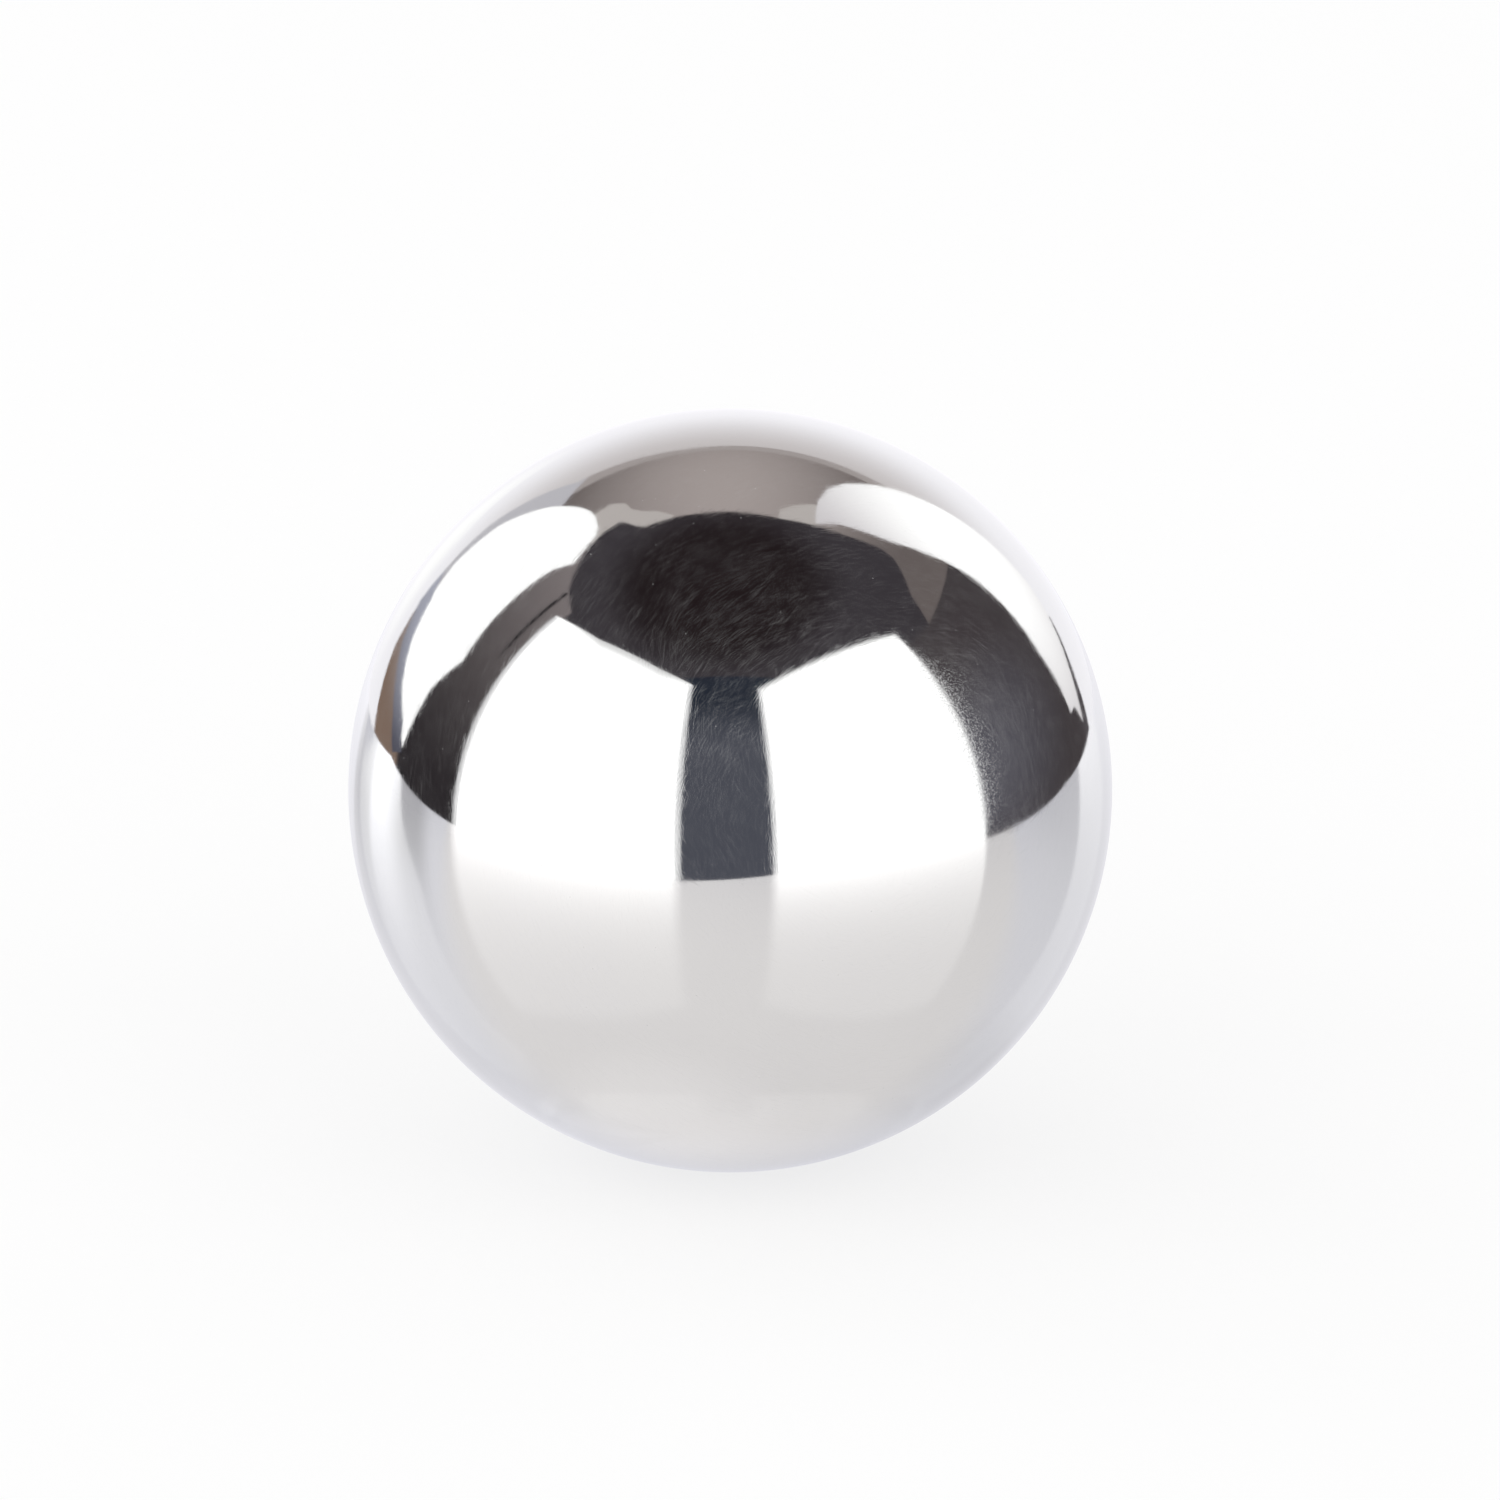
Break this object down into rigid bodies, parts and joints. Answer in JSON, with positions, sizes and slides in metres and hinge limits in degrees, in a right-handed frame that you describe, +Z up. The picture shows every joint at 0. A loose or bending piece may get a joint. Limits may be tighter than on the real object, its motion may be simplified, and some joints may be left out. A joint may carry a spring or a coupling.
{
  "type": "steel ball",
  "caption": "Solid steel ball with a mirror-polished surface, for rolling, weighing down, swinging or rest in a ring or cup.",
  "frame": {"origin": "centre of the ball", "axes": "+Z up, through the point that the ball rests on; the ball is alike about every axis through its centre"},
  "size_m": [0.05, 0.05, 0.05],
  "materials": {
    "polished_steel": "mirror polish with fine hairline lapping marks"
  },
  "bodies": {
    "root": {"ball": "polished_steel"}
  },
  "joints": []
}
